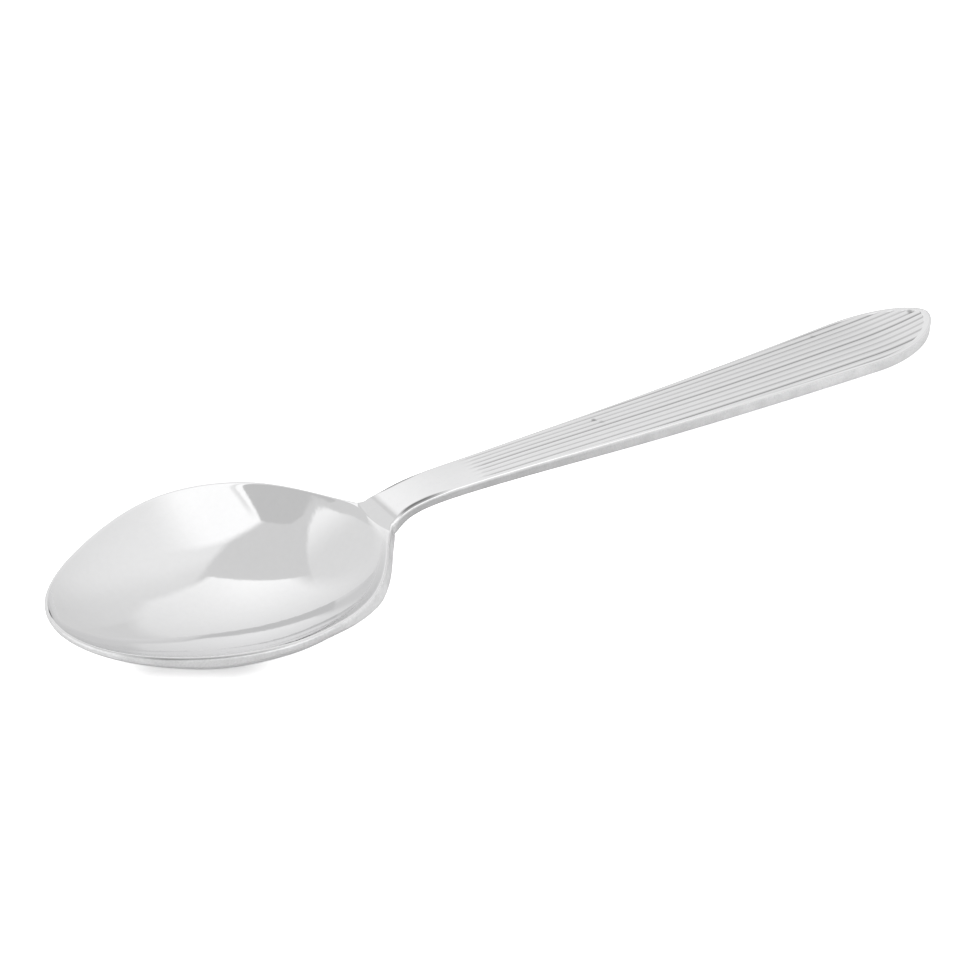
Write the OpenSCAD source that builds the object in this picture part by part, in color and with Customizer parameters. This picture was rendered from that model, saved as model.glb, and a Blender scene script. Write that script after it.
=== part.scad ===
// Serving spoon, pressed from one steel blank and divided here at its forming lines

/* [Overall] */
// Length from the tip of the bowl to the tip of the handle
overall_l = 210; // [180:1:250]

/* [Bowl] */
// Length from the tip of the bowl to its shoulder
bowl_l = 64.2; // [56:0.1:74]
// Width of the bowl's oval
bowl_w = 51.5; // [40:0.1:60]
// Depth of the hollow below the rim
bowl_depth = 11.2; // [7:0.1:15]
// Thickness of the metal under the middle of the hollow
bowl_t = 1.8; // [1.2:0.1:2.8]
// Thickness of the edge at the sides of the rim
rim_t = 2.8; // [2:0.05:3.6]
// Thickness of the edge at the tip of the bowl
tip_t = 1.2; // [0.9:0.05:2]
// Roundness of the tip of the bowl
bowl_tip_power = 0.47; // [0.4:0.01:0.6]
// Fullness of the outline towards the shoulder
bowl_back_power = 3.65; // [2.6:0.05:4.4]
// Draw of the shoulder into the neck
bowl_shoulder_power = 1.21; // [1:0.01:1.6]
// Steepness of the hollow's walls
bowl_wall_power = 0.8; // [0.65:0.01:1]
// How fast the hollow deepens along its length
bowl_run_power = 1.35; // [1:0.01:1.8]
// Height of the rim's tip over the line of the rim
rim_tip_lift = 1.55; // [0:0.05:2.5]
// Height of the middle of the rim over the line of the rim
rim_bow = 1.05; // [0:0.05:2]
// Width of the rounded edge along the rim and the handle
edge_round = 0.5; // [0.2:0.05:0.7]

/* [Neck] */
// Narrowest width behind the bowl
neck_w = 8.1; // [6:0.1:11]
// Distance from the shoulder to the start of the flutes
neck_l = 20.2; // [14:0.2:26]
// Thickness at the edge of the neck
neck_t = 2.2; // [1.6:0.05:3]
// Rise of the neck over the line of the rim
neck_rise = 3.4; // [1:0.05:5]
// Distance inside the shoulder where the rise starts
neck_run_in = 1.3; // [0.5:0.1:4]
// Place of the top of the rise, as a share of the neck's length
neck_peak_share = 0.94; // [0.6:0.01:1.2]
// Arch of the rise, from even to quick at its start
neck_arch_power = 3.8; // [2:0.1:4.5]
// Length over which the root of the neck swells on each side of the start of the rise
neck_root_l = 5; // [3:0.1:8]
// Width of the bevel along the edges of the neck
neck_bevel = 1.1; // [0.5:0.05:1.8]

/* [Handle] */
// Greatest width of the handle
handle_w = 17.9; // [13:0.1:22]
// Thickness at the edge of the handle
handle_t = 3; // [2.2:0.05:4]
// Length of the rounded end beyond the greatest width
handle_end_l = 23.3; // [16:0.1:30]
// Draw of the rounded end towards its tip
handle_end_power = 0.6; // [0.45:0.01:0.7]
// Height of the handle's widest place over the line of the rim
handle_rise = 1.2; // [0:0.05:3]
// Rise of the tip over the widest place
handle_tip_rise = 1.8; // [0:0.05:3]
// Sweep of the handle between the neck and the widest place
handle_sweep_power = 2.75; // [2:0.05:3.6]
// Crown across the top of the handle
handle_crown = 0.3; // [0:0.05:0.6]
// Bevel along the lower edges
under_bevel = 0.3; // [0.1:0.05:0.5]

/* [Flutes] */
// Spacing of the flutes where they start
flute_pitch_start = 1.5; // [1.2:0.05:1.8]
// Spacing of the flutes at the widest part of the handle
flute_pitch_end = 1.85; // [1.5:0.05:2.2]
// Depth of the grooves between the flutes
flute_depth = 0.25; // [0.1:0.05:0.4]
// Smooth border beside the flutes
flute_border = 0.4; // [0.2:0.1:1]
// Smooth border between the flutes and the tip
flute_tip_border = 1.8; // [1.2:0.1:5]
// Length over which the flutes come in at their start
flute_lead = 4; // [2:0.5:8]

/* [Resolution] */
// Sections along the bowl
bowl_steps = 44; // [24:2:48]
// Points across the bowl
bowl_cross_steps = 36; // [20:2:40]
// Sections along the neck
neck_steps = 16; // [8:1:20]
// Points across the neck
neck_cross_steps = 20; // [12:2:28]
// Sections along the handle
handle_steps = 44; // [24:2:48]

/* [Hidden] */
steel = [0.80, 0.80, 0.81];
steel_dark = [0.74, 0.74, 0.75];
bowl_hw = bowl_w / 2;
neck_hw = neck_w / 2;
handle_hw = handle_w / 2;
pull_share = bowl_tip_power / (bowl_tip_power + bowl_shoulder_power * bowl_back_power);
widest_share = pow(pull_share, 1 / bowl_back_power);
widest_x = bowl_l * widest_share;
flute_x = bowl_l + neck_l;
handle_end_x = overall_l - handle_end_l;
peak_x = bowl_l + neck_l * neck_peak_share;
rise_x = bowl_l - neck_run_in;
rise_slope = neck_rise * neck_arch_power / (peak_x - rise_x);
neck_root_h = rise_slope * neck_root_l / 4;
full_t_share = 0.58;
full_t_x = mix(bowl_l, handle_end_x, full_t_share);
nose_share = 0.2;
nose = edge_round * nose_share;
flare_ease_share = 0.3;
flare_ease = neck_l * flare_ease_share;
under_share = 1 - (rim_t - bowl_t) / bowl_depth;
drop_share = 0.33;
bevel_share = 0.5;
flute_close_share = 0.25;
soft_end = 30;
flat_steps = 2;
root_steps = 3;
settle_steps = 8;
scan_steps = 240;
// One groove and its reed: places across the pitch, and how deep the groove is there
flute_place_shares = [0, 0.1, 0.22, 0.5, 0.78, 0.9];
flute_deep_shares = [1, 0.6, 0.25, 0, 0.25, 0.6];
flute_points = len(flute_place_shares);
flute_reach = ceil(handle_hw / min(flute_pitch_start, flute_pitch_end));

function clamp01(v) = min(max(v, 0), 1);
function ease(v) = clamp01(v) * clamp01(v) * (3 - 2 * clamp01(v));
function smoother(v) = pow(clamp01(v), 3) * (10 + clamp01(v) * (6 * clamp01(v) - 15));
function mix(a, b, v) = a + (b - a) * v;

// Half width of the bowl's oval alone, as a share of its greatest half width
function egg(v) = pow(v, bowl_tip_power) * pow(1 - pow(v, bowl_back_power), bowl_shoulder_power);
function oval(x) = egg(clamp01(x / bowl_l)) / egg(widest_share);
// Half width of the neck and handle alone
function shoulder_in(x) = smoother((x - widest_x) / (bowl_l - widest_x));
function soft(v) = v > soft_end ? v : ln(1 + exp(v));
function flare(x) = flare_ease * soft((x - flute_x) / flare_ease) / (handle_end_x - flute_x);
function end_in(x) = clamp01((x - handle_end_x) / handle_end_l);
function end_round(x) = pow(1 - end_in(x) * end_in(x), handle_end_power);
function stem(x) = mix(neck_hw, handle_hw, flare(x)) * end_round(x) * shoulder_in(x);
// Half width of the whole outline
function outline(x) = bowl_hw * oval(x) + stem(x);
function half_w(x) = outline(min(max(x, nose), overall_l - nose));

// Height of the top edge over the line of the rim
function along(x) = clamp01(x / bowl_l);
function rim_curve(x) = rim_bow * pow(4 * along(x) * (1 - along(x)), 2);
function rim_tip(x) = rim_tip_lift * pow(clamp01(1 - x / widest_x), 3);
function arch(v) = 1 - pow(1 - clamp01(v), neck_arch_power);
function neck_lift(x) = neck_rise * arch((x - rise_x) / (peak_x - rise_x));
function run_out(v, n) = 1 - pow(1 - v, n) * (1 + n * v);
function sweep(x) = run_out(clamp01((x - bowl_l) / (handle_end_x - bowl_l)), handle_sweep_power);
function handle_lift(x) = handle_tip_rise * pow(end_in(x), 2) - (neck_rise - handle_rise) * sweep(x);
function lift(x) = rim_curve(x) + rim_tip(x) + neck_lift(x) + handle_lift(x);

// Thickness, bevel, crown and depth at a section
function bowl_edge_t(x) = mix(mix(tip_t, rim_t, ease(x / widest_x)), neck_t, shoulder_in(x));
function metal_t(x) = bowl_edge_t(x) + (handle_t - neck_t) * ease((x - bowl_l) / (full_t_x - bowl_l));
function bevel_in(x) = shoulder_in(x) * (1 - ease((x - bowl_l) / neck_l));
function bevel(x) = min(mix(edge_round, neck_bevel, bevel_in(x)), half_w(x) * bevel_share);
function bevel_h(x) = min(edge_round, metal_t(x) * drop_share);
function under_h(x) = min(under_bevel, metal_t(x) * drop_share);
function root_swell(x) = neck_root_h * pow(max(0, 1 - abs(x - rise_x) / neck_root_l), 2);
function crown(x) = handle_crown * shoulder_in(x) * end_round(x) + root_swell(x);
function hollow(x) = bowl_depth * pow(oval(max(x, nose)), bowl_run_power);

// Slope and height that let the bowl and the end of the handle both touch the table
function bed(x, slope) = lift(x) - metal_t(x) - hollow(x) * under_share - slope * x;
function low(a, b, slope) = min([for (i = [0:scan_steps]) bed(mix(a, b, i / scan_steps), slope)]);
function gap_low(slope) = low(flute_x, overall_l, slope) - low(0, bowl_l, slope);
function next_slope(slope) = slope + gap_low(slope) / (overall_l - widest_x);
function settle(slope, n) = n < 1 ? slope : settle(next_slope(slope), n - 1);
rest_slope = settle(0, settle_steps);
rest_z = -low(0, bowl_l, rest_slope);
function edge_z(x) = rest_z + lift(x) - rest_slope * x;

// Flutes fan out slowly, run out at the edge and stop short of the tip
function fan(x) = mix(flute_pitch_start, flute_pitch_end, (x - flute_x) / (handle_end_x - flute_x));
function flute_pitch(x) = fan(x) * mix(1, end_round(x), flute_close_share);
function flute_limit(x) = min(land(x), outline(min(x + flute_tip_border, overall_l)) - edge_round);
function flute_side(x, y) = ease((flute_limit(x) - abs(y)) / flute_border);
function flute_mask(x, y) = ease((x - flute_x) / flute_lead) * flute_side(x, y);

// Top and underside of a section
function land(x) = half_w(x) - bevel(x);
function dome(v, p) = pow(max(0, 1 - v * v), p);
function smooth_z(x, y) = edge_z(x) + crown(x) * dome(y / land(x), 1)
    - hollow(x) * dome(y / land(x), bowl_wall_power);
function under_z(x, y) = edge_z(x) - metal_t(x)
    - hollow(x) * under_share * dome(y / half_w(x), bowl_wall_power);

// Rows of points across: the outer face, then the top inside the rounded edge
function rim_point(x, side) = [x, side * half_w(x), edge_z(x) - bevel_h(x)];
function spread(n) = [for (j = [0:n]) sin(90 * (2 * j / n - 1))];
function smooth_row(x, n) = [for (s = spread(n)) [x, land(x) * s, smooth_z(x, land(x) * s)]];
function flute_row(x) = [for (k = [-flute_reach:flute_reach]) for (m = [0:flute_points - 1])
    let (raw = (k + flute_place_shares[m]) * flute_pitch(x))
    let (y = min(max(raw, -land(x)), land(x)))
    [x, y, smooth_z(x, y) - flute_depth * flute_deep_shares[m] * flute_mask(x, y)]];
function top_row(x, inner) = concat([rim_point(x, -1)], inner, [rim_point(x, 1)]);
function under_edge(x, side) = [x, side * half_w(x), edge_z(x) - metal_t(x) + under_h(x)];
function under_land(x) = half_w(x) - min(under_bevel, half_w(x) * drop_share);
function under_row(x, n) = concat(
    [under_edge(x, -1)],
    [for (s = spread(n)) [x, under_land(x) * s, under_z(x, under_land(x) * s)]],
    [under_edge(x, 1)]);

// Closed skin through rows of top and underside points, leaving out faces with no area
function whole(p, f) = p[f[0]] != p[f[1]] && p[f[1]] != p[f[2]] && p[f[2]] != p[f[0]];
function strip(p, rows, m, start, turned) = [for (i = [0:rows - 2]) for (j = [0:m - 2])
    let (a = start + i * m + j)
    for (f = [[a, a + 1, a + m + 1], [a, a + m + 1, a + m]])
        if (whole(p, f)) turned ? [f[2], f[1], f[0]] : f];
function edge_strip(p, rows, a, ma, b, mb) = [for (i = [0:rows - 2])
    let (a0 = a + i * ma, a1 = a0 + ma, b0 = b + i * mb, b1 = b0 + mb)
    for (f = [[b0, a0, a1], [b0, a1, b1]])
        if (whole(p, f)) f];
function flip(faces) = [for (f = faces) [for (k = [len(f) - 1:-1:0]) f[k]]];
function ring(a, ma, b, mb) = concat([for (j = [0:ma - 1]) a + j], [for (j = [mb - 1:-1:0]) b + j]);
function cap(p, a, ma, b, mb) = let (loop = ring(a, ma, b, mb))
    [for (k = [0:len(loop) - 1]) if (p[loop[k]] != p[loop[(k + 1) % len(loop)]]) loop[k]];

module skin(tops, unders) {
    rows = len(tops);
    mt = len(tops[0]);
    mu = len(unders[0]);
    points = concat([for (r = tops) each r], [for (r = unders) each r]);
    u = rows * mt;
    upper = strip(points, rows, mt, 0, false);
    lower = strip(points, rows, mu, u, true);
    right = edge_strip(points, rows, 0, mt, u, mu);
    left = flip(edge_strip(points, rows, mt - 1, mt, u + mu - 1, mu));
    front = cap(points, 0, mt, u, mu);
    back = cap(points, (rows - 1) * mt, mt, u + (rows - 1) * mu, mu);
    faces = concat(upper, lower, right, left, flip([front]), [back]);
    translate([-overall_l / 2, 0, 0])
        polyhedron(points, faces, convexity = 8);
}

function both_dense(a, b, n) = [for (i = [0:n]) mix(a, b, (1 - cos(180 * i / n)) / 2)];
function even(a, b, n) = [for (i = [0:n]) mix(a, b, i / n)];
function even_after(a, b, n) = [for (i = [1:n]) mix(a, b, i / n)];
function end_dense(a, b, n) = [for (i = [0:n]) mix(a, b, sin(90 * i / n))];

module bowl() {
    xs = concat(both_dense(0, rise_x, bowl_steps), even_after(rise_x, bowl_l, root_steps));
    tops = [for (x = xs) top_row(x, smooth_row(x, bowl_cross_steps))];
    unders = [for (x = xs) under_row(x, bowl_cross_steps)];
    color(steel)
        skin(tops, unders);
}

module neck() {
    xs = even(bowl_l, flute_x, neck_steps);
    tops = [for (x = xs) top_row(x, smooth_row(x, neck_cross_steps))];
    unders = [for (x = xs) under_row(x, flat_steps)];
    color(steel_dark)
        skin(tops, unders);
}

module handle() {
    xs = end_dense(flute_x, overall_l, handle_steps);
    tops = [for (x = xs) top_row(x, flute_row(x))];
    unders = [for (x = xs) under_row(x, flat_steps)];
    color(steel)
        skin(tops, unders);
}

bowl();
neck();
handle();
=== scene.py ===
# %% [markdown]
# # A polished serving spoon
# The spoon is pressed from one steel blank. A die dishes the bowl, bends the neck and coins the flutes, and
# then the edge is ground and the faces are polished. It could be modelled as three bodies that are joined,
# but the polish would show every joint. So this script shapes the skin as one smooth sheet, wraps the sheet
# into a closed skin, and divides that at the two forming lines into the bowl, the neck and the handle.

# %% Load the frame
import math
import bpy
import numpy as np
from mathutils import Matrix


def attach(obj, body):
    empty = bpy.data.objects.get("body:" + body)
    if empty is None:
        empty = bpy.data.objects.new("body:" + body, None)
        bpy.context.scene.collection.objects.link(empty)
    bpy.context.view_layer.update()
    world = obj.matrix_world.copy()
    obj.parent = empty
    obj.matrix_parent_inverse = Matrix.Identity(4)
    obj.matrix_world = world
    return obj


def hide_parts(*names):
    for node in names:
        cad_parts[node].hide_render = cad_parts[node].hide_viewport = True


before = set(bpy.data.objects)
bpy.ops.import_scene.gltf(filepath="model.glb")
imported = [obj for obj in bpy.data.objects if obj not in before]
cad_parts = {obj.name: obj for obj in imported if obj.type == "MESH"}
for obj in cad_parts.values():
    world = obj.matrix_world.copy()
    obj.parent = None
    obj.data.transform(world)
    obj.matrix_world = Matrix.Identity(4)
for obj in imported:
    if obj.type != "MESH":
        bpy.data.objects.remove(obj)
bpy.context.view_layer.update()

# %% [markdown]
# ## The lengths
# All sizes are in millimetres, with x from the tip of the bowl to the tip of the handle, y across and z up.
# The main ones are those of the CAD source. The flutes, the neck's flat top, the shoulder's fillet and the
# shape of the edge band follow a later and closer look at the photograph.

# %% Lengths along the spoon
overall_l, bowl_l, neck_l, handle_end_l = 210.0, 64.2, 20.2, 23.3
flute_x = bowl_l + neck_l
end_x = overall_l - handle_end_l
print("the flutes start at", round(flute_x, 1), "and the handle's end at", round(end_x, 1))


# %% [markdown]
# ## Soft steps
# A pressed form has no sudden changes, so whatever changes along the spoon is eased in and out.

# %% Easing functions
def clip01(v):
    return np.clip(v, 0.0, 1.0)


def rise(v, a, b):
    """Eases from 0 at a to 1 at b."""
    u = clip01((v - a) / (b - a))
    return u * u * (3.0 - 2.0 * u)


def hump(v, a, b, c, d):
    """Eases from 0 at a to 1 at b, and from 1 at c back to 0 at d."""
    return rise(v, a, b) * (1.0 - rise(v, c, d))


def smoother(v):
    """Eases from 0 to 1 without a jump in curvature, which a mirror polish would show."""
    v = clip01(v)
    return v ** 3 * (10.0 + v * (6.0 * v - 15.0))


# %% [markdown]
# ## The outline
# A spoon's outline is an egg that is drawn out into a stem. The two half widths are simply added, and a
# small fillet fills the inner corner at the shoulder.

# %% Egg
bowl_w = 51.5
tip_p, back_p, shoulder_p = 0.47, 3.65, 1.21
widest = (tip_p / (tip_p + shoulder_p * back_p)) ** (1 / back_p)
widest_x = bowl_l * widest


def egg(v):
    return v ** tip_p * (1.0 - v ** back_p) ** shoulder_p


def oval(x):
    return egg(clip01(x / bowl_l)) / egg(widest)


def shoulder_in(x):
    return smoother((x - widest_x) / (bowl_l - widest_x))


print("the bowl is widest at", round(widest_x, 1))

# %% Stem and half width
neck_w, handle_w, end_p = 8.1, 17.9, 0.6
flare_share, fillet_back = 0.3, 0.3
flare_soft = neck_l * flare_share
fillet_w, fillet_l, fillet_x = 0.7, 2.6, bowl_l - fillet_back


def end_in(x):
    return clip01((x - end_x) / handle_end_l)


def end_round(x):
    return (1.0 - end_in(x) ** 2) ** end_p


def half_w(x):
    flare = flare_soft * np.logaddexp(0.0, (x - flute_x) / flare_soft) / (end_x - flute_x)
    stem = (neck_w + (handle_w - neck_w) * flare) / 2 * end_round(x)
    fillet = fillet_w * np.exp(-((x - fillet_x) / fillet_l) ** 2)
    return bowl_w / 2 * oval(x) + stem * shoulder_in(x) + fillet


# %% [markdown]
# ## The side view
# The rim bows up a little along the bowl, the neck arches out of it, and the handle sweeps down from the
# neck and lifts again at its tip.

# %% Height of the edge
rim_bow, tip_bow = 1.05, 1.55
neck_rise, neck_arch, neck_run_in, peak_share = 3.4, 3.8, 1.3, 0.94
handle_rise, tip_rise, sweep_p = 1.2, 1.8, 2.75
rise_x, peak_x = bowl_l - neck_run_in, bowl_l + neck_l * peak_share


def lift(x):
    u, v = clip01(x / bowl_l), clip01((x - bowl_l) / (end_x - bowl_l))
    rim = rim_bow * (4 * u * (1 - u)) ** 2 + tip_bow * clip01(1.0 - x / widest_x) ** 3
    up = neck_rise * (1.0 - (1.0 - clip01((x - rise_x) / (peak_x - rise_x))) ** neck_arch)
    fall = (neck_rise - handle_rise) * (1.0 - (1.0 - v) ** sweep_p * (1.0 + sweep_p * v))
    return rim + up - fall + tip_rise * end_in(x) ** 2


# %% Thickness and hollow
tip_t, rim_t, neck_t, handle_t = 1.2, 2.8, 2.2, 3.0
full_t_share = 0.58
full_t_x = bowl_l + full_t_share * (end_x - bowl_l)
bowl_depth, hollow_p = 11.2, 1.35


def metal(x):
    t = tip_t + (rim_t - tip_t) * rise(x, 0.0, widest_x)
    t = t + (neck_t - t) * shoulder_in(x)
    return t + (handle_t - neck_t) * rise(x, bowl_l, full_t_x)


def hollow(x):
    return bowl_depth * oval(x) ** hollow_p


# %% [markdown]
# ## How it rests
# On a table the spoon touches at the bottom of the bowl and under the end of the handle. The slope that
# makes both touch is found by a few repeated steps.

# %% Rest slope
bowl_t = 1.8
rest_samples, rest_rounds = 2101, 12
xs = np.linspace(0.0, overall_l, rest_samples)
under_share = 1.0 - (rim_t - bowl_t) / bowl_depth
bed = lift(xs) - metal(xs) - hollow(xs) * under_share
rest_slope = 0.0
for _ in range(rest_rounds):
    low = bed - rest_slope * xs
    rest_slope += (low[xs > flute_x].min() - low[xs < bowl_l].min()) / (overall_l - widest_x)
rest_z = -(bed - rest_slope * xs).min()
print("rest slope", round(rest_slope, 4), "height of the rim's line at the tip", round(rest_z, 2))


def edge_z(x):
    return rest_z + lift(x) - rest_slope * x


# %% [markdown]
# ## The flutes
# Narrow grooves part rounded reeds along the handle. A die coins them into the top. They fan out more slowly
# than the outline does, so the outer ones run out at the edge, and all of them stop short of the tip. Each
# groove has a sharp bottom and soft shoulders, and no two neighbours are quite as deep.

# %% Flutes
edge_round = 0.5
pitch_start, pitch_gain, pitch_close = 1.12, 0.5, 0.25
tip_gap, side_gap = 1.8, 0.3
fade_l, fade_w = 4.0, 0.3
sharp, uneven, wave_step, wave_start = 0.65, 0.2, 5.0, 1.0


def flute(x, y):
    """Depth of the grooves at a place, from 0 to 1."""
    pitch = pitch_start + pitch_gain * (x - flute_x) / (end_x - flute_x)
    pitch = pitch * (1.0 - pitch_close + pitch_close * end_round(x))
    reach = np.minimum(half_w(np.minimum(x + tip_gap, overall_l)), half_w(x) + side_gap) - edge_round
    mask = rise(x, flute_x, flute_x + fade_l) * rise(reach - np.abs(y), 0.0, fade_w)
    line = np.round(y / pitch)
    off = np.abs(y / pitch - line) * 2.0
    groove = sharp * (1.0 - off) ** 3 + (1.0 - sharp) * (0.5 + 0.5 * np.cos(np.pi * off))
    return mask * groove * (1.0 - uneven + uneven * np.sin(wave_step * line + wave_start))


# %% [markdown]
# ## The sheet
# A grid is laid out with one row for each section along the spoon and one column for each point round
# the section. The columns run over the top, round the edge, down the ground band and back underneath. The
# rows lie closer together where the outline turns round a tip.

# %% Stations along the spoon
def stations(a, b, count, dense_a=False, dense_b=False):
    u = np.linspace(0.0, 1.0, count + 1)
    u = u ** 2 if dense_a else u
    u = 1.0 - (1.0 - u) ** 2 if dense_b else u
    return a + (b - a) * u


ring_x = np.concatenate([
    stations(0.0, widest_x, 70, dense_a=True),
    stations(widest_x, rise_x, 70)[1:],
    stations(rise_x, bowl_l, 4)[1:],
    stations(bowl_l, flute_x, 60)[1:],
    stations(flute_x, end_x, 80)[1:],
    stations(end_x, overall_l, 70, dense_b=True)[1:],
])
print("sections", len(ring_x))

# %% Outline's normals
probe, steep = 1e-4, 1e9
ahead, behind = np.minimum(ring_x + probe, overall_l), np.maximum(ring_x - probe, 0.0)
slope_w = (half_w(ahead) - half_w(behind)) / (2 * probe)
slope_w[0], slope_w[-1] = steep, -steep
norm_x = -slope_w / np.sqrt(1.0 + slope_w ** 2)
norm_y = 1.0 / np.sqrt(1.0 + slope_w ** 2)
out_w = half_w(ring_x)
out_w[0] = out_w[-1] = 0.0
x0, y0, nx, ny = (a[:, None] for a in (ring_x, out_w, norm_x, norm_y))

# %% [markdown]
# ## The edge
# The edge is rounded along its own normal, so the rounding also runs evenly round both tips. Along the neck
# it widens into a bevel. As the photograph shows, the ground band leans outwards at the shoulder, and the
# rim is thinner along the middle of the bowl.

# %% Lines of the edge
neck_bevel, under_round = 1.1, 0.3
bevel_x = (65.0, 70.0, 72.0, 79.0)
lean_out, lean_x = 0.6, (46.0, 52.0, 61.0, 72.0)
thin_by, thin_x = 1.3, (17.0, 31.0, 38.0, 48.0)
wide = edge_round + (neck_bevel - edge_round) * hump(x0, *bevel_x)
lx, ly = x0 - wide * nx, np.maximum(y0 - wide * ny, 0.0)
lean = lean_out * hump(x0, *lean_x)
fx, fy = x0 + lean * nx, y0 + lean * ny
ux, uy = fx - under_round * nx, np.maximum(fy - under_round * ny, 0.0)
thin = thin_by * hump(x0, *thin_x)

# %% Heights of the edge
bowl_drop, drop_share, round_part, band_least = 0.35, 0.4, 3, 0.02
ze, t = edge_z(lx), metal(lx) - thin
drop = np.minimum(edge_round + bowl_drop * (1.0 - shoulder_in(lx)), t * drop_share)
band_low = np.maximum(t - np.minimum(under_round, t / round_part), drop + band_least)
print("rim from", round(float(t.min()), 2), "to", round(float(t.max()), 2), "thick")


# %% [markdown]
# ## The top
# The bowl's wall gets steeper towards the rim, and the handle has a slight crown. Each point also carries a
# shade, a painted shade in the colour that darkens the bottoms of the grooves, and a mark for the softer
# polish high on the wall. A mirror polish would show a black line there, which the photograph doesn't have.

# %% Top of each section
def layer(x, y, z, shade=0.0, soft=0.0):
    """Points of one strip of the half section, with their marks."""
    return np.stack(np.broadcast_arrays(x, y, z, shade, soft), axis=-1)


def dish(v):
    rim = dish_lip ** dish_p
    return ((1.0 - v ** 2 + dish_lip) ** dish_p - rim) / ((1.0 + dish_lip) ** dish_p - rim)


dish_p, dish_lip = 0.8, 0.06
lip_bowl, lip_gain, lip_x = 0.3, 2.0, 60.0
crown_h, crown_x = 0.3, (70.0, 100.0)
flute_depth, groove_painted_shade = 0.34, 0.75
soft_s, soft_y = (0.76, 0.88), (4.0, 10.0)
least_width = 1e-3
top_n = 100
s = np.sin(np.linspace(0.0, np.pi / 2, top_n + 1))[None, :]
lip = lip_bowl + lip_gain * rise(lx, lip_x, bowl_l)
wall = 1.0 - (np.hypot(ly * (1.0 - s), lip) - lip) / np.maximum(np.hypot(ly, lip) - lip, least_width)
crown = crown_h * rise(lx, *crown_x) * end_round(lx)
groove = flute(lx, ly * s)
top_z = ze + crown * (1 - s ** 2) - hollow(lx) * dish(wall) - flute_depth * groove
soft = rise(s, *soft_s) * rise(ly, *soft_y) * (lx < bowl_l)
# The shade mark of the top is painted shade in the bottoms of the grooves.
top = layer(lx, ly * s, top_z, groove_painted_shade * groove ** 2, soft)

# %% [markdown]
# ## The rounding and the band
# The rounding is darker by a painted dark reflection on the neck's bevel and along the rim near the bowl's
# tip, and the band is darker by painted shade along the middle of the bowl and at the start of the handle.
# These tones follow the photograph.

# %% Rounding and band of each section
arc_n, band_n = 6, 4
bowl_shade_paint, bowl_shade_paint_x, bowl_shade_paint_a = 0.13, (4.0, 12.0, 38.0, 48.0), 0.5
neck_reflection_paint, neck_reflection_paint_x, neck_reflection_paint_a = 0.7, (65.0, 68.0, 72.0, 79.0), (0.2, 0.5, 1.0, 1.2)
rim_reflection_paint, rim_reflection_paint_x, rim_reflection_paint_a = 0.4, (4.0, 12.0, 22.0, 38.0), (0.25, 0.45, 0.8, 1.0)
stem_shade_paint, stem_shade_paint_x = 0.34, (bowl_l - 2.0, bowl_l + 2.0, 66.0, 176.0)
a = np.linspace(0.0, np.pi / 2, arc_n + 1)[None, 1:]
b = np.linspace(0.0, 1.0, band_n + 1)[None, 1:]
# Painted shade on the rounding and the band along the middle of the bowl.
bowl_painted_shade = bowl_shade_paint * hump(x0, *bowl_shade_paint_x)
# Painted dark reflection on the neck's bevel, darkening its colour.
neck_painted_reflection = neck_reflection_paint * hump(x0, *neck_reflection_paint_x) * hump(a, *neck_reflection_paint_a)
# Painted dark reflection along the rim near the bowl's tip.
rim_painted_reflection = rim_reflection_paint * hump(x0, *rim_reflection_paint_x) * hump(a, *rim_reflection_paint_a)
arc_painted_shade = neck_painted_reflection + rim_painted_reflection + bowl_painted_shade * (a > bowl_shade_paint_a)
# Painted shade on the band along the middle of the bowl and at the start of the handle.
band_painted_shade = bowl_painted_shade + stem_shade_paint * hump(x0, *stem_shade_paint_x)
arc = layer(lx + (x0 - lx) * np.sin(a), ly + (y0 - ly) * np.sin(a), ze - drop * (1 - np.cos(a)), arc_painted_shade)
band = layer(x0 + lean * nx * b, y0 + lean * ny * b, ze - drop - (band_low - drop) * b, band_painted_shade)

# %% [markdown]
# ## The underside
# It follows the dish from the foot of the band. Where the rim is thinner, it goes down by as much more, so the
# bottom of the bowl stays where the rest slope puts it. The other half is a mirror image, and only the near
# half keeps the softer polish.

# %% Underside and the whole ring
low_n, under_n = 3, 24
c = np.linspace(0.0, np.pi / 2, low_n + 1)[None, 1:]
d = np.cos(np.linspace(0.0, np.pi / 2, under_n + 1))[None, 1:]
turn_z = ze - band_low - (t - band_low) * np.sin(c)
turn = layer(ux + (fx - ux) * np.cos(c), uy + (fy - uy) * np.cos(c), turn_z)
under = layer(ux, uy * d, ze - t - (hollow(ux) * under_share + thin) * (1 - d ** 2) ** dish_p)
far_half = np.concatenate([top, arc, band, turn, under], axis=1)
near_half = far_half[:, -2:0:-1] * np.array([1.0, -1.0, 1.0, 1.0, 1.0])
far_half[:, :, 4] = 0.0
ring = np.concatenate([far_half, near_half], axis=1)
rows, cols = ring.shape[:2]
print("points round each section", cols)

# %% [markdown]
# ## Wrapping the sheet
# The grid primitive gives the faces. Its points are moved onto the sections, and one more column closes
# the sheet on itself. Points that fall together at the seam and at both tips are welded later.

# %% Grid to sheet
mm_per_m = 1000.0
bpy.ops.object.select_all(action="DESELECT")
bpy.ops.mesh.primitive_grid_add(x_subdivisions=cols, y_subdivisions=rows - 1, size=2.0)
skin = bpy.context.object
skin.name = "spoon_skin"
closed = np.concatenate([ring, ring[:, :1]], axis=1)
closed[:, :, 0] -= overall_l / 2
skin.data.vertices.foreach_set("co", (closed[:, :, :3] / mm_per_m).astype(np.float32).ravel())
for n, name in ((3, "shade"), (4, "soft")):
    mark = skin.data.attributes.new(name, "FLOAT", "POINT")
    mark.data.foreach_set("value", closed[:, :, n].astype(np.float32).ravel())
skin.data.update()

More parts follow.
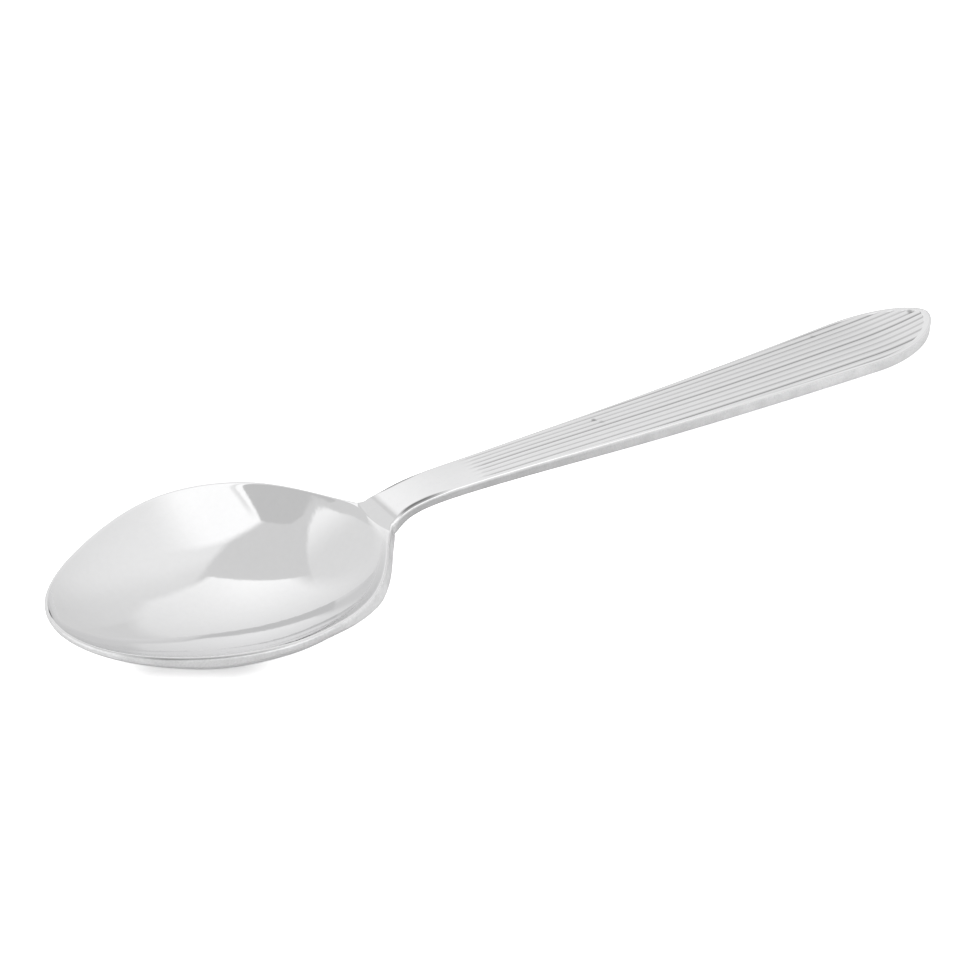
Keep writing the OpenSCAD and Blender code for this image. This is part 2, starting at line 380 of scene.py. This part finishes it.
# %% Marks on the faces
faces = np.arange(len(skin.data.polygons))
column, along = faces % cols, ring_x[faces // cols]
fold = np.minimum(column, 2 * (far_half.shape[1] - 1) - 1 - column)
band_over, bowl_skip, stem_skip, nudge = 1.0, 2, arc_n - 1, 1e-6
band_from = top_n + np.where(along < bowl_l + band_over, bowl_skip, stem_skip)
is_band = (fold >= band_from) & (fold < top_n + arc_n + band_n + 1)
skin.data.polygons.foreach_set("material_index", is_band.astype(np.int32))
zone = skin.data.attributes.new("zone", "INT", "FACE")
past_bowl, past_neck = along >= bowl_l - nudge, along >= flute_x - nudge
zone.data.foreach_set("value", past_bowl.astype(np.int32) + past_neck.astype(np.int32))
print("faces on the band", int(is_band.sum()), "of", len(faces))

# %% Sheet to closed skin
weld_m, sliver_m = 2e-7, 1e-8
bpy.ops.object.mode_set(mode="EDIT")
bpy.ops.mesh.select_all(action="SELECT")
bpy.ops.mesh.remove_doubles(threshold=weld_m)
bpy.ops.mesh.dissolve_degenerate(threshold=sliver_m)
bpy.ops.mesh.normals_make_consistent(inside=False)
bpy.ops.object.mode_set(mode="OBJECT")
bpy.ops.object.shade_smooth()
print("skin faces", len(skin.data.polygons))

# %% [markdown]
# ## Dividing the skin
# The bowl, the neck and the handle are one piece on the real spoon. The skin is cut at the two forming
# lines, so that each zone can replace its own CAD solid. The skin's normals are kept from before the cut, so
# that the cuts don't show.

# %% Keep the normals
kept = np.zeros(len(skin.data.vertices) * 3, np.float32)
skin.data.vertices.foreach_get("normal", kept)
mark = skin.data.attributes.new("kept", "FLOAT_VECTOR", "POINT")
mark.data.foreach_set("vector", kept)


# %% Cut off the handle and the neck
def only(piece):
    bpy.ops.object.select_all(action="DESELECT")
    piece.select_set(True)
    bpy.context.view_layer.objects.active = piece


pieces = {}
for name, level in (("handle", 2), ("neck", 1)):
    only(skin)
    zone = np.zeros(len(skin.data.polygons), np.int32)
    skin.data.attributes["zone"].data.foreach_get("value", zone)
    bpy.ops.object.mode_set(mode="EDIT")
    bpy.ops.mesh.select_all(action="DESELECT")
    bpy.ops.object.mode_set(mode="OBJECT")
    skin.data.polygons.foreach_set("select", zone == level)
    bpy.ops.object.mode_set(mode="EDIT")
    bpy.ops.mesh.separate(type="SELECTED")
    bpy.ops.object.mode_set(mode="OBJECT")
    pieces[name] = [o for o in bpy.context.selected_objects if o is not skin][0]
pieces["bowl"] = skin

# %% [markdown]
# Each cut is closed with a cap. A cap has its own face normal, and the skin beside it keeps the stored ones.

# %% Caps and normals
for name, piece in pieces.items():
    piece.name = "spoon_" + name
    only(piece)
    count = len(piece.data.polygons)
    bpy.ops.object.mode_set(mode="EDIT")
    bpy.ops.mesh.select_all(action="SELECT")
    bpy.ops.mesh.fill_holes(sides=0)
    bpy.ops.object.mode_set(mode="OBJECT")
    caps = len(piece.data.polygons) - count
    normals = [None] * len(piece.data.loops)
    stored = piece.data.attributes["kept"].data
    for face in piece.data.polygons:
        for i in face.loop_indices:
            skin_normal = stored[piece.data.loops[i].vertex_index].vector
            normals[i] = tuple(face.normal if face.index >= count else skin_normal)
    piece.data.normals_split_custom_set(normals)
    print(piece.name, "faces", len(piece.data.polygons), "caps", caps)


# %% [markdown]
# ## Shader maths
# One small class wraps a socket, so that shader sums read like ordinary sums. Its add method makes any node.

# %% Socket class
class Sock:
    def __init__(self, tree, out=None):
        self.tree, self.out = tree, out

    def __getitem__(self, name):
        """Another output of the same node."""
        return Sock(self.tree, self.out.node.outputs[name])

    def add(self, kind, settings=None, *values, **inputs):
        """Adds a node of any type, with its settings and with its inputs by place or by name."""
        node = self.tree.nodes.new(kind)
        for key, value in (settings or {}).items():
            setattr(node, key, value)
        for i, value in enumerate(values):
            self.feed(node.inputs[i], value)
        for key, value in inputs.items():
            self.feed(node.inputs[key.replace("_", " ")], value)
        return Sock(self.tree, node.outputs[0])

    def feed(self, socket, value):
        if isinstance(value, Sock):
            self.tree.links.new(value.out, socket)
        else:
            socket.default_value = value

    def math(self, op, *values):
        return self.add("ShaderNodeMath", {"operation": op}, *values)

    def step(self, a, b):
        """Smooth step from 0 at a to 1 at b."""
        smooth = {"interpolation_type": "SMOOTHSTEP"}
        return self.add("ShaderNodeMapRange", smooth, Value=self, From_Min=a, From_Max=b)["Result"]

    def grey(self):
        return self.add("ShaderNodeCombineColor", None, Red=self, Green=self, Blue=self)["Color"]

    def __add__(self, v): return self.math("ADD", self, v)
    def __radd__(self, v): return self.math("ADD", v, self)
    def __sub__(self, v): return self.math("SUBTRACT", self, v)
    def __rsub__(self, v): return self.math("SUBTRACT", v, self)
    def __mul__(self, v): return self.math("MULTIPLY", self, v)
    def __rmul__(self, v): return self.math("MULTIPLY", v, self)
    def __truediv__(self, v): return self.math("DIVIDE", self, v)
    def __rtruediv__(self, v): return self.math("DIVIDE", v, self)
    def __pow__(self, v): return self.math("POWER", self, v)
    def __neg__(self): return 0.0 - self


# %% [markdown]
# ## The steel
# The bowl, the neck and the top of the handle are mirror-polished. The edge band is ground, which leaves
# a satin grain and a slight mottling. The polished steel of the handle has a few small pits.

# %% Pits
# Each pit has its place x and y, how far it reaches and how dark it is.
pits = ((116.9, 2.5, 0.42, 0.5), (117.8, 1.1, 0.42, 0.25), (181.0, 6.2, 0.42, 0.3), (206.5, 1.8, 0.6, 0.45))
pit_core, pit_soft = 0.2, 0.4


def with_pits(shade, where):
    spot = shade.add("ShaderNodeSeparateXYZ", None, where)
    for x, y, reach, dark in pits:
        px, py, pz = (v / mm_per_m for v in (x - overall_l / 2, y, float(edge_z(x))))
        away = ((spot["X"] - px) ** 2.0 + (spot["Y"] - py) ** 2.0 + (spot["Z"] - pz) ** 2.0) ** 0.5
        pit = 1.0 - away.step(pit_core / mm_per_m, (pit_soft + reach) / mm_per_m)
        shade = shade * (1.0 - dark * pit)
    return shade


# %% Polished and ground steel
fine_ratio, blue_gain, rough_vary, soft_rough, grain_m = 10.0, 1.005, 0.5, 0.3, 0.0002
fine_detail, broad_detail, noise_mean = 4.0, 3.0, 0.5


def steel(name, grey, rough, grain, mottle, size):
    mat = bpy.data.materials.new(name)
    mat.use_nodes = True
    nodes = Sock(mat.node_tree)
    shader = mat.node_tree.nodes["Principled BSDF"]
    shader.inputs["Metallic"].default_value = 1.0
    where = nodes.add("ShaderNodeTexCoord")["Object"]
    noise = {"Vector": where, "Detail": fine_detail, "Scale": size * fine_ratio}
    fine = nodes.add("ShaderNodeTexNoise", None, **noise)["Fac"] - noise_mean
    noise = {"Vector": where, "Detail": broad_detail, "Scale": size}
    broad = nodes.add("ShaderNodeTexNoise", None, **noise)["Fac"] - noise_mean
    # The shade mark darkens the colour with painted shade and painted dark reflections.
    dark = nodes.add("ShaderNodeAttribute", {"attribute_name": "shade"})["Fac"]
    soft = nodes.add("ShaderNodeAttribute", {"attribute_name": "soft"})["Fac"]
    shade = (grey + broad * mottle + fine * mottle) * (1.0 - dark)
    shade = with_pits(shade, where)
    colour = nodes.add("ShaderNodeCombineColor", None, Red=shade, Green=shade, Blue=shade * blue_gain)
    nodes.feed(shader.inputs["Base Color"], colour["Color"])
    nodes.feed(shader.inputs["Roughness"], rough + broad * rough * rough_vary + soft_rough * soft)
    bump = nodes.add("ShaderNodeBump", None, Height=fine, Strength=grain, Distance=grain_m)["Normal"]
    nodes.feed(shader.inputs["Normal"], bump)
    return mat


polished = steel("polished steel", grey=0.82, rough=0.05, grain=0.02, mottle=0.03, size=90.0)
ground = steel("ground steel", grey=0.88, rough=0.32, grain=0.35, mottle=0.3, size=300.0)

# %% Dress the pieces
for name, piece in pieces.items():
    piece.data.materials.append(polished)
    piece.data.materials.append(ground)
    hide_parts(name)
    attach(piece, "root")
    print(piece.name, "stands for", name)

# %% [markdown]
# ## The table
# The table is white and a little over-exposed, so only the closest shadow shows. It glows for the camera
# alone, and less in a patch under the bowl, which is a painted shadow.

# %% Table
bpy.ops.mesh.primitive_plane_add(size=6.0, location=(0, 0, 0))
floor = bpy.context.object
floor.name = "table"
white = bpy.data.materials.new("table white")
white.use_nodes = True
white.node_tree.nodes.remove(white.node_tree.nodes["Principled BSDF"])
nodes = Sock(white.node_tree)
spot = nodes.add("ShaderNodeSeparateXYZ", None, nodes.add("ShaderNodeTexCoord")["Object"])

# %% Painted shadow under the bowl
# The patch of painted shadow is laid out along the level direction towards the photograph's camera, in metres.
front_x, front_y = -0.582, -0.813
shadow_patch_front, shadow_patch_left, shadow_patch_right = (0.054, 0.062), (-0.084, -0.07), (-0.058, -0.042)
near = front_x * spot["X"] + front_y * spot["Y"]
across = -front_y * spot["X"] + front_x * spot["Y"]
painted_shadow_patch = (1.0 - near.step(*shadow_patch_front)) * across.step(*shadow_patch_left) * (1.0 - across.step(*shadow_patch_right))

# %% Table's glow
table_grey, table_glow, shadow_paint_loss = (0.85, 0.85, 0.85, 1.0), 1.1, 0.75
seen = nodes.add("ShaderNodeLightPath")["Is Camera Ray"]
diffuse = nodes.add("ShaderNodeBsdfDiffuse", None, Color=table_grey)
# The glow drops in the patch under the bowl, which paints a shadow there.
glow = nodes.add("ShaderNodeEmission", None, (seen * (table_glow - shadow_paint_loss * painted_shadow_patch)).grey())
both = nodes.add("ShaderNodeAddShader", None, diffuse, glow)
nodes.feed(white.node_tree.nodes["Material Output"].inputs["Surface"], both)
floor.data.materials.append(white)

# %% [markdown]
# ## The studio
# A polished spoon shows the room more than itself, so the room is drawn by direction as a set of soft
# panels. Their places come from where the photograph shows their reflections.

# %% Directions
world = bpy.data.worlds.new("studio")
bpy.context.scene.world = world
world.use_nodes = True
nodes = Sock(world.node_tree)
axis = nodes.add("ShaderNodeSeparateXYZ", None, nodes.add("ShaderNodeTexCoord")["Generated"])
dx, dy, dz = axis["X"], axis["Y"], axis["Z"]
degrees = 180 / math.pi
around = nodes.math("ARCTAN2", dy, dx) * degrees
height = nodes.math("ARCSINE", dz) * degrees


def half(x_share, y_share, offset, a, b):
    """1 on one side of a line across the sky as seen from below, with a soft edge from a to b."""
    return (x_share * dx + y_share * dy + offset).step(a, b)


def between(v, low, high, soft):
    """1 between two angles, with soft edges."""
    return v.step(low - soft, low + soft) * (1.0 - v.step(high - soft, high + soft))


# %% [markdown]
# The far panel stands behind the spoon and is bounded by a fan-shaped edge. The wall on the left is white
# and the ceiling is grey.

# %% Far panel, ceiling and left wall
crisp, blurred = (-0.012, 0.012), (-0.02, 0.02)
fan_az, fan_el, fan_lean = 28.0, 38.0, 0.9
fan_edge = fan_az + fan_lean * nodes.math("MAXIMUM", fan_el - height, 0.0)
far_low, far_gain, far_turn = 0.72, 0.0066, 0.06
fan_soft, far_turn_az, far_end_az = (-1.0, 5.0), (35, 65), (86, 97)
far_tone = far_low + far_gain * height + far_turn * around.step(*far_turn_az)
far_panel = (around - fan_edge).step(*fan_soft) * (1.0 - around.step(*far_end_az))
far_panel = far_panel * half(0.896, 1.0, -0.65, *crisp)
ceiling_curve, ceiling_y, ceiling_edge = 1.45, 0.085, (-0.06, 0.02)
ceiling = (dy + ceiling_y - ceiling_curve * nodes.math("MAXIMUM", dx, 0.0) ** 2).step(*ceiling_edge)
left_wall = half(-1.526, 1.0, -0.83, *blurred)
left_white, left_fall, left_y = 1.08, 0.24, (0.22, 0.65)
left_tone = left_white - left_fall * dy.step(*left_y)

# %% [markdown]
# A softbox hangs over the near side, with a weaker streak in it. The dark block in the bowl is taken to be
# the camera's own side of the room, and a low strip of light makes the bright line along the edge.

# %% Softbox, camera side and strip light
softbox_y, softbox_x = (0.03, 0.12), (0.24, 0.66)
softbox = (-dy).step(*softbox_y) * (1.0 - dx.step(*softbox_x))
streak_on, streak_off, streak_y = (-0.15, -0.12), (-0.11, -0.06), (0.1, 0.4)
streak = dx.step(*streak_on) * (1.0 - dx.step(*streak_off)) * (-dy).step(*streak_y)
camera_side = half(-1.0, 0.13, -0.135, *crisp) * half(0.0, -1.0, 0.158, -0.01, 0.02)
camera_side = camera_side * half(-1.434, -1.0, -0.296, *blurred) * half(1.3, -1.0, 0.662, *blurred)
strip_az, strip_el, strip_soft = (-120, -54), (4, 26), 3.0
strip = between(around, *strip_az, strip_soft) * between(height, *strip_el, strip_soft)

# %% Paint the room
room, up_gain, up_z, right_loss, right_az = 0.86, 0.12, (0.1, 0.85), 0.1, (2, 28)
level = room + up_gain * dz.step(*up_z) - right_loss * around.step(*right_az)
panels = (
    (ceiling, 0.75),
    (left_wall, left_tone),
    (far_panel, far_tone),
    (softbox, 1.2 - 0.25 * streak),
    (camera_side, 0.64),
    (strip, 1.6),
)
for panel, tone in panels:
    level = level + (tone - level) * panel
shown = nodes.add("ShaderNodeLightPath")["Is Camera Ray"]
level = level + (1.0 - level) * shown
nodes.feed(world.node_tree.nodes["Background"].inputs["Color"], level.grey())
print("panels", len(panels))

# %% [markdown]
# ## The camera
# It stands near the bowl, about 36 degrees round from the long side, and looks down at about 36 degrees. Its
# place was fitted to the outline in the photograph.

# %% Camera
az, el, roll = math.radians(-35.604), math.radians(35.734), math.radians(-0.324)
aim_z, distance, shift_side, shift_up = 8.0, 361.05, -12.924, -7.379
focal_px, photo_px, sensor = 1848.42, 976, 36.0
back = np.array([math.sin(az) * math.cos(el), -math.cos(az) * math.cos(el), math.sin(el)])
side = np.array([math.cos(az), math.sin(az), 0.0])
up = np.cross(back, side)
side, up = side * math.cos(roll) + up * math.sin(roll), up * math.cos(roll) - side * math.sin(roll)
place = (np.array([0, 0, aim_z]) + distance * back + shift_side * side + shift_up * up) / mm_per_m
lens = bpy.data.cameras.new("camera")
lens.sensor_width = sensor
lens.lens = sensor * focal_px / photo_px
cam = bpy.data.objects.new("camera", lens)
bpy.context.collection.objects.link(cam)
cam.matrix_world = Matrix([[side[i], up[i], back[i], place[i]] for i in range(3)] + [[0, 0, 0, 1]])
bpy.context.scene.camera = cam
bpy.context.scene.view_settings.view_transform = "Standard"
print("lens", round(lens.lens, 2), "mm")
